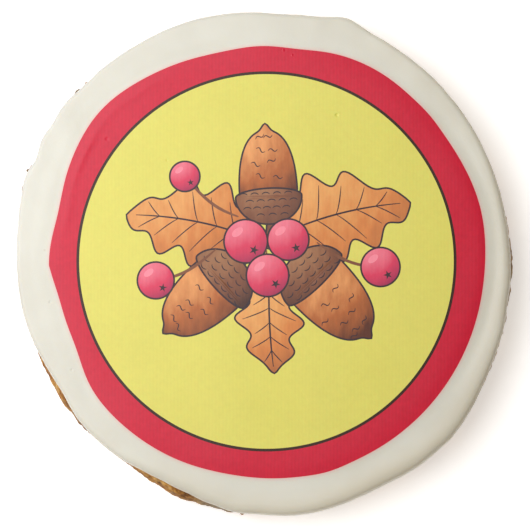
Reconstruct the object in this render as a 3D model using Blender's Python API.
"""A round iced sugar cookie: a baked disc under a coat of white icing.

The cookie lies flat on the XY plane with its iced side up (+Z) and its outline centred
on the origin. Lengths are metres and angles are degrees, counted anticlockwise from +X
as seen from above.

Two pieces, as on the real one:
  cookie  the baked disc, with a flat base and a crumbly rounded edge
  icing   the coat that covers the top and runs part of the way down the edge
"""

import math

import bmesh
import bpy
from mathutils import Vector, noise

MM = 0.001

# --- Driving dimensions -------------------------------------------------------------
ICING_RADIUS = 44.75 * MM  # mean outline, seen from above
ICING_TOP = 10.0 * MM  # flat face of the icing, above the table
COOKIE_THICKNESS = 7.6 * MM
CLEARANCE = 0.3 * MM  # between the cookie and the icing that lies on it

# --- The baked disc -----------------------------------------------------------------
WIDEST_HEIGHT = 2.2 * MM  # where the edge bulges most
SHOULDER_REACH = 3.2 * MM  # how far in from the bulge the flat top begins
FOOT_REACH = 1.1 * MM  # how far in from the bulge the flat base begins
CRAG_DEPTH = 0.30 * MM  # relief of the broken, crumbly edge
CRAG_SIZE = 1.9 * MM

# --- The icing coat -----------------------------------------------------------------
OVERHANG = 1.2 * MM  # how far the icing's edge stands outside the cookie's
HEM_HEIGHT = 2.9 * MM  # where the coat ends on the cookie's edge, above the table
HEM_LIP = 0.6 * MM  # least thickness of the coat at its hem
HEM_EASE = 4  # how sharply the hem turns between those two rules: higher is sharper
SHOULDER_ROUND = 1.0 * MM  # width of the rounding of the coat's upper edge
SHOULDER_DROP = 0.65  # height of that rounding for its width
SIDE_STEEPNESS = 12  # how upright the coat's side is below that round: higher is steeper
RIM_RISE = 0.12 * MM  # soft roll round the edge, above the flat face
GROOVE_DEPTH = 0.12 * MM  # shallow dip between the flat face and the roll
GROOVE_OFFSET = 0.7 * MM  # the dip runs this far outside the red band
GROOVE_INNER_SPREAD = 2.0 * MM
GROOVE_OUTER_SPREAD = 1.3 * MM
RIM_SPREAD = 1.4 * MM
RIM_FALL = 0.06  # outside the print the icing slopes down this much for its width
FACE_WAVES = 0.09 * MM  # gentle unevenness of the whole face
FACE_WAVE_SIZE = 13 * MM

# --- The printed face ---------------------------------------------------------------
LINE_RADIUS = 33.75 * MM  # middle of the thin black circle
LINE_WIDTH = 0.5 * MM
BAND_RADIUS = 38.95 * MM  # mean outer edge of the red band

# --- Mesh fineness ------------------------------------------------------------------
SIDES = 200

# Uneven outlines: (angle in degrees, half-width in degrees, height in millimetres) of
# each swelling (+) or hollow (-) on top of the mean radius.
ICING_SWELLINGS = (
    (12, 26, -1.15),
    (71.5, 5, 1.25),
    (85, 6, -0.35),
    (110, 14, 0.5),
    (137.6, 2.2, -0.25),
    (146, 22, 1.25),
    (156, 3, -0.5),
    (166, 5, 0.2),
    (210, 12.5, -1.15),
    (227.5, 6, -0.3),
    (243, 11, -1.3),
    (260, 9.5, -0.9),
    (262, 5, 0.85),
    (278, 19, 1.25),
    (313, 11, 1.3),
    (339, 8, -0.2),
    (350.5, 4, -0.25),
    (3, 14, -0.06),
    (16, 12, 0.14),
    (42, 8, -0.1),
    (62, 4, 0.22),
    (82, 3.5, 0.22),
    (134, 2, -0.2),
    (147, 2.5, -0.3),
    (160.5, 3, 0.3),
    (213, 4, -0.2),
    (249, 6, 0.05),
    (255.5, 2.5, 0.3),
    (302, 8, 0.15),
    (311.5, 4, -0.3),
    (325, 5, 0.15),
)
BAND_SWELLINGS = (
    (14, 14, 0.5),
    (42, 5, 0.15),
    (60, 14, 0.5),
    (82, 8, -0.55),
    (102, 12, -0.6),
    (138, 14.5, 1.15),
    (167, 9, -0.7),
    (190, 9, -1.1),
    (203.5, 10, -1.45),
    (260, 12, -0.3),
    (286, 6, 0.25),
)
BAND_CORNERS = ((181, 5, 0.45),)  # the same, but pointed
GROOVE_SWELLINGS = (  # where the dip round the print is deeper
    (5, 30, 0.14),
    (107, 12, 0.06),
    (145, 18, 0.05),
    (240, 12, 0.04),
)
OFFSET_SWELLINGS = (  # where it runs further out or in: changes to GROOVE_OFFSET
    (5, 28, 1.2),
    (150, 25, -0.35),
)
ROUND_SWELLINGS = (  # where the coat's upper edge is rounder: changes to SHOULDER_ROUND
    (5, 28, 0.35),
    (255, 25, 1.0),
    (302, 32, 1.4),
)
# Where the coat is pulled in and the bare cookie looks out from under it (-), and where
# the icing alone swells (+): changes to OVERHANG.
OVERHANG_SWELLINGS = (
    (71.5, 6, 0.9),
    (150, 20, -0.7),
    (210, 18, -1.4),
    (213, 4, -0.2),
    (222, 32, -0.63),
    (250, 14, -2.5),
    (335.5, 30, -1.49),
    (5.6, 13.4, -1.02),
    (240, 2, -0.25),
    (249, 6, 0.15),
    (255.5, 2.5, 0.3),
)
# Drips and scallops of the hem: changes to HEM_HEIGHT.
HEM_SWELLINGS = (
    (28, 9, -0.5),
    (52, 8, 0.9),
    (80, 10, -0.4),
    (105, 9, 0.8),
    (128, 8, -0.5),
    (185, 9, 0.7),
    (228, 6, -0.3),
    (275, 10, -0.5),
    (298, 8, 0.8),
    (322, 9, -0.3),
)


def swell(angle, features, power=2):
    """Sum of the bumps in features at this angle, in metres: round, or pointed at power 1."""
    total = 0.0
    for centre, half_width, height in features:
        away = abs((angle - centre + 180) % 360 - 180)
        total += height * MM * math.exp(-((away / half_width) ** power))
    return total


def icing_outline(angle):
    """Radius of the icing's outer edge, seen from above."""
    return ICING_RADIUS + swell(angle, ICING_SWELLINGS)


def cookie_outline(angle):
    """Radius of the cookie's edge at its widest height."""
    return icing_outline(angle) - OVERHANG - swell(angle, OVERHANG_SWELLINGS)


def band_outline(angle):
    """Radius of the red band's outer edge."""
    return BAND_RADIUS + swell(angle, BAND_SWELLINGS) + swell(angle, BAND_CORNERS, 1)


def groove_radius(angle):
    """Radius of the bottom of the dip round the print."""
    return band_outline(angle) + GROOVE_OFFSET + swell(angle, OFFSET_SWELLINGS)


def shoulder_round(angle):
    """How far in from the outline the coat starts to fall."""
    return SHOULDER_ROUND + swell(angle, ROUND_SWELLINGS)


def cookie_shoulder(angle, rise, offset=0.0):
    """Point (radius, height) on the cookie's rounded upper edge.

    rise runs from 0 degrees at the widest height to 90 degrees at the flat top. The
    point is moved outwards from the surface by offset.
    """
    turn = math.radians(rise)
    height_span = COOKIE_THICKNESS - WIDEST_HEIGHT
    radius = cookie_outline(angle) - SHOULDER_REACH * (1 - math.cos(turn))
    height = WIDEST_HEIGHT + height_span * math.sin(turn)
    normal = Vector((math.cos(turn) / SHOULDER_REACH, math.sin(turn) / height_span))
    normal.normalize()
    return radius + offset * normal.x, height + offset * normal.y


def hem_rise(angle):
    """Where on the cookie's shoulder the icing ends, as an angle for cookie_shoulder.

    The coat runs down to the hem height, but it stops higher where the cookie stands
    out so far that the coat would have no thickness left. The two rules blend smoothly.
    """
    hem_height = HEM_HEIGHT + swell(angle, HEM_SWELLINGS)
    down_to_hem = (hem_height - WIDEST_HEIGHT) / (COOKIE_THICKNESS - WIDEST_HEIGHT)
    room = icing_outline(angle) - HEM_LIP - CLEARANCE
    inset = 1 - (cookie_outline(angle) - room) / SHOULDER_REACH
    by_hem = math.degrees(math.asin(max(0.0, min(1.0, down_to_hem))))
    by_room = math.degrees(math.acos(max(0.0, min(1.0, inset))))
    eased = (by_hem**HEM_EASE + by_room**HEM_EASE) ** (1 / HEM_EASE)
    return min(eased, 85.0)


def icing_face(radius, angle):
    """Height of the icing's upper face, with its shallow groove and soft rim roll."""
    turn = math.radians(angle)
    place = Vector((math.cos(turn), math.sin(turn), 0)) * radius
    unevenness = FACE_WAVES * noise.noise(place / FACE_WAVE_SIZE)
    from_groove = radius - groove_radius(angle)
    from_groove /= GROOVE_INNER_SPREAD if from_groove < 0 else GROOVE_OUTER_SPREAD
    groove = (GROOVE_DEPTH + swell(angle, GROOVE_SWELLINGS)) * math.exp(-(from_groove**2))
    from_roll = (radius - icing_outline(angle) + shoulder_round(angle)) / RIM_SPREAD
    roll = RIM_RISE * math.exp(-(from_roll**2))
    fall = RIM_FALL * max(radius - band_outline(angle), 0.0)
    return ICING_TOP + unevenness - groove + roll - fall


def crags(angle, height):
    """Relief of the broken crumb on the cookie's bare edge, outwards, in metres."""
    turn = math.radians(angle)
    around = Vector((math.cos(turn), math.sin(turn), 0)) * ICING_RADIUS
    place = (around + Vector((0, 0, height))) / CRAG_SIZE
    return CRAG_DEPTH * noise.noise(place)


def cookie_profile(angle):
    """(radius, height) points from the rim of the base, up and over to the top."""
    widest = cookie_outline(angle)
    points = []
    for share in (0.3, 0.7):
        points.append(((widest - FOOT_REACH) * share, 0.0))
    for fall in (90, 60, 30):
        turn = math.radians(fall)
        radius = widest - FOOT_REACH * (1 - math.cos(turn))
        height = WIDEST_HEIGHT * (1 - math.sin(turn))
        bare = 0.0 if fall == 90 else 1.0
        points.append((radius + bare * crags(angle, height), height))
    covered_from = hem_rise(angle)
    for rise in (0, 15, 30, 45, 60, 75, 90):
        radius, height = cookie_shoulder(angle, rise)
        bare = max(0.0, min(1.0, (covered_from - rise) / 12))
        points.append((radius + bare * crags(angle, height), height))
    for share in (0.7, 0.3):
        points.append(((widest - SHOULDER_REACH) * share, COOKIE_THICKNESS))
    return points


def icing_profile(angle):
    """(radius, height) points of the coat: top face, edge, hem, then its underside.

    The rows of the top face follow the print's edges, so that each colour has faces of
    its own.
    """
    outline = icing_outline(angle)
    face_rows = (
        0.35 * LINE_RADIUS,
        0.7 * LINE_RADIUS,
        LINE_RADIUS - LINE_WIDTH / 2,
        LINE_RADIUS + LINE_WIDTH / 2,
        (LINE_RADIUS + band_outline(angle)) / 2,
        band_outline(angle),
        groove_radius(angle),
        outline - shoulder_round(angle),
    )
    points = [(radius, icing_face(radius, angle)) for radius in face_rows]

    start = hem_rise(angle)
    inner_radius, hem_height = cookie_shoulder(angle, start, CLEARANCE)
    thickness = outline - inner_radius
    crest = points[-1][1]
    widest = hem_height + 0.4 * (crest - hem_height)
    reach = shoulder_round(angle)
    round_height = min(SHOULDER_DROP * reach, crest - widest)
    for fall in (25, 45, 62, 76, 90):
        turn = math.radians(fall)
        radius = outline - reach * (1 - math.sin(turn))
        round_drop = round_height * (1 - math.cos(turn))
        side_drop = (crest - widest - round_height) * math.sin(turn) ** SIDE_STEEPNESS
        points.append((radius, crest - round_drop - side_drop))

    bead = min(0.5 * thickness, 0.5 * (widest - hem_height))
    points.append((outline - 0.12 * thickness, hem_height + bead))
    points.append((outline - 0.5 * thickness, hem_height - 0.1 * bead))

    for share in (0.0, 0.25, 0.5, 0.75, 1.0):
        rise = start + (90 - start) * share
        points.append(cookie_shoulder(angle, rise, CLEARANCE))
    inner_flat = cookie_outline(angle) - SHOULDER_REACH
    for share in (0.7, 0.3):
        points.append((inner_flat * share, COOKIE_THICKNESS + CLEARANCE))
    return points


def outline_middle():
    """Middle of the box round both outlines, which is moved to the origin."""
    across = []
    along = []
    for step in range(360):
        turn = math.radians(step)
        radius = max(icing_outline(step), cookie_outline(step))
        across.append(radius * math.cos(turn))
        along.append(radius * math.sin(turn))
    middle_x = (min(across) + max(across)) / 2
    middle_y = (min(along) + max(along)) / 2
    return Vector((middle_x, middle_y, 0))


def turned_solid(name, profile, first_height, last_height, row_material):
    """Closed solid whose profile changes with the angle round the vertical axis.

    profile(angle) gives the rows from the middle of one face to the middle of the
    other, whose heights are first_height and last_height. row_material(row) is the
    material slot of the faces between that row and the next.
    """
    mesh = bmesh.new()
    middle = outline_middle()
    rings = []
    for side in range(SIDES):
        angle = 360 * side / SIDES
        turn = math.radians(angle)
        outward = Vector((math.cos(turn), math.sin(turn), 0))
        column = []
        for radius, height in profile(angle):
            spot = outward * radius + Vector((0, 0, height)) - middle
            column.append(mesh.verts.new(spot))
        rings.append(column)
    first = mesh.verts.new(Vector((0, 0, first_height)) - middle)
    last = mesh.verts.new(Vector((0, 0, last_height)) - middle)
    for side in range(SIDES):
        here = rings[side]
        beside = rings[(side + 1) % SIDES]
        mesh.faces.new((first, here[0], beside[0])).material_index = row_material(-1)
        for row in range(len(here) - 1):
            corners = (here[row], here[row + 1], beside[row + 1], beside[row])
            mesh.faces.new(corners).material_index = row_material(row)
        mesh.faces.new((last, beside[-1], here[-1])).material_index = row_material(-2)
    bmesh.ops.triangulate(mesh, faces=mesh.faces[:])
    bmesh.ops.recalc_face_normals(mesh, faces=mesh.faces[:])
    data = bpy.data.meshes.new(name)
    mesh.to_mesh(data)
    mesh.free()
    data.shade_smooth()
    solid = bpy.data.objects.new(name, data)
    bpy.context.scene.collection.objects.link(solid)
    return solid


def finish(name, hex_colour, roughness):
    """Principled material of one sRGB colour."""
    material = bpy.data.materials.new(name)
    material.use_nodes = True
    channels = [int(hex_colour[i : i + 2], 16) / 255 for i in (1, 3, 5)]
    linear = [c / 12.92 if c < 0.04045 else ((c + 0.055) / 1.055) ** 2.4 for c in channels]
    shader = material.node_tree.nodes["Principled BSDF"]
    shader.inputs["Base Color"].default_value = (*linear, 1)
    shader.inputs["Roughness"].default_value = roughness
    shader.inputs["Metallic"].default_value = 0
    return material


def make_cookie():
    """The baked disc."""
    cookie = turned_solid("cookie", cookie_profile, 0.0, COOKIE_THICKNESS, lambda row: 0)
    cookie.data.materials.append(finish("baked sugar dough", "#C08A4A", 0.85))
    return cookie


def make_icing():
    """The coat, with the printed face's yellow field, black line and red band."""
    print_rows = {-1: 1, 0: 1, 1: 1, 2: 2, 3: 3, 4: 3}
    icing = turned_solid(
        "icing",
        icing_profile,
        icing_face(0, 0),
        COOKIE_THICKNESS + CLEARANCE,
        lambda row: print_rows.get(row, 0),
    )
    icing.data.materials.append(finish("white icing", "#EFECDF", 0.5))
    icing.data.materials.append(finish("yellow food ink", "#E6DE79", 0.5))
    icing.data.materials.append(finish("black food ink", "#2A2722", 0.5))
    icing.data.materials.append(finish("red food ink", "#D64B5C", 0.5))
    return icing


for leftover in list(bpy.data.objects):
    bpy.data.objects.remove(leftover)

make_cookie()
make_icing()
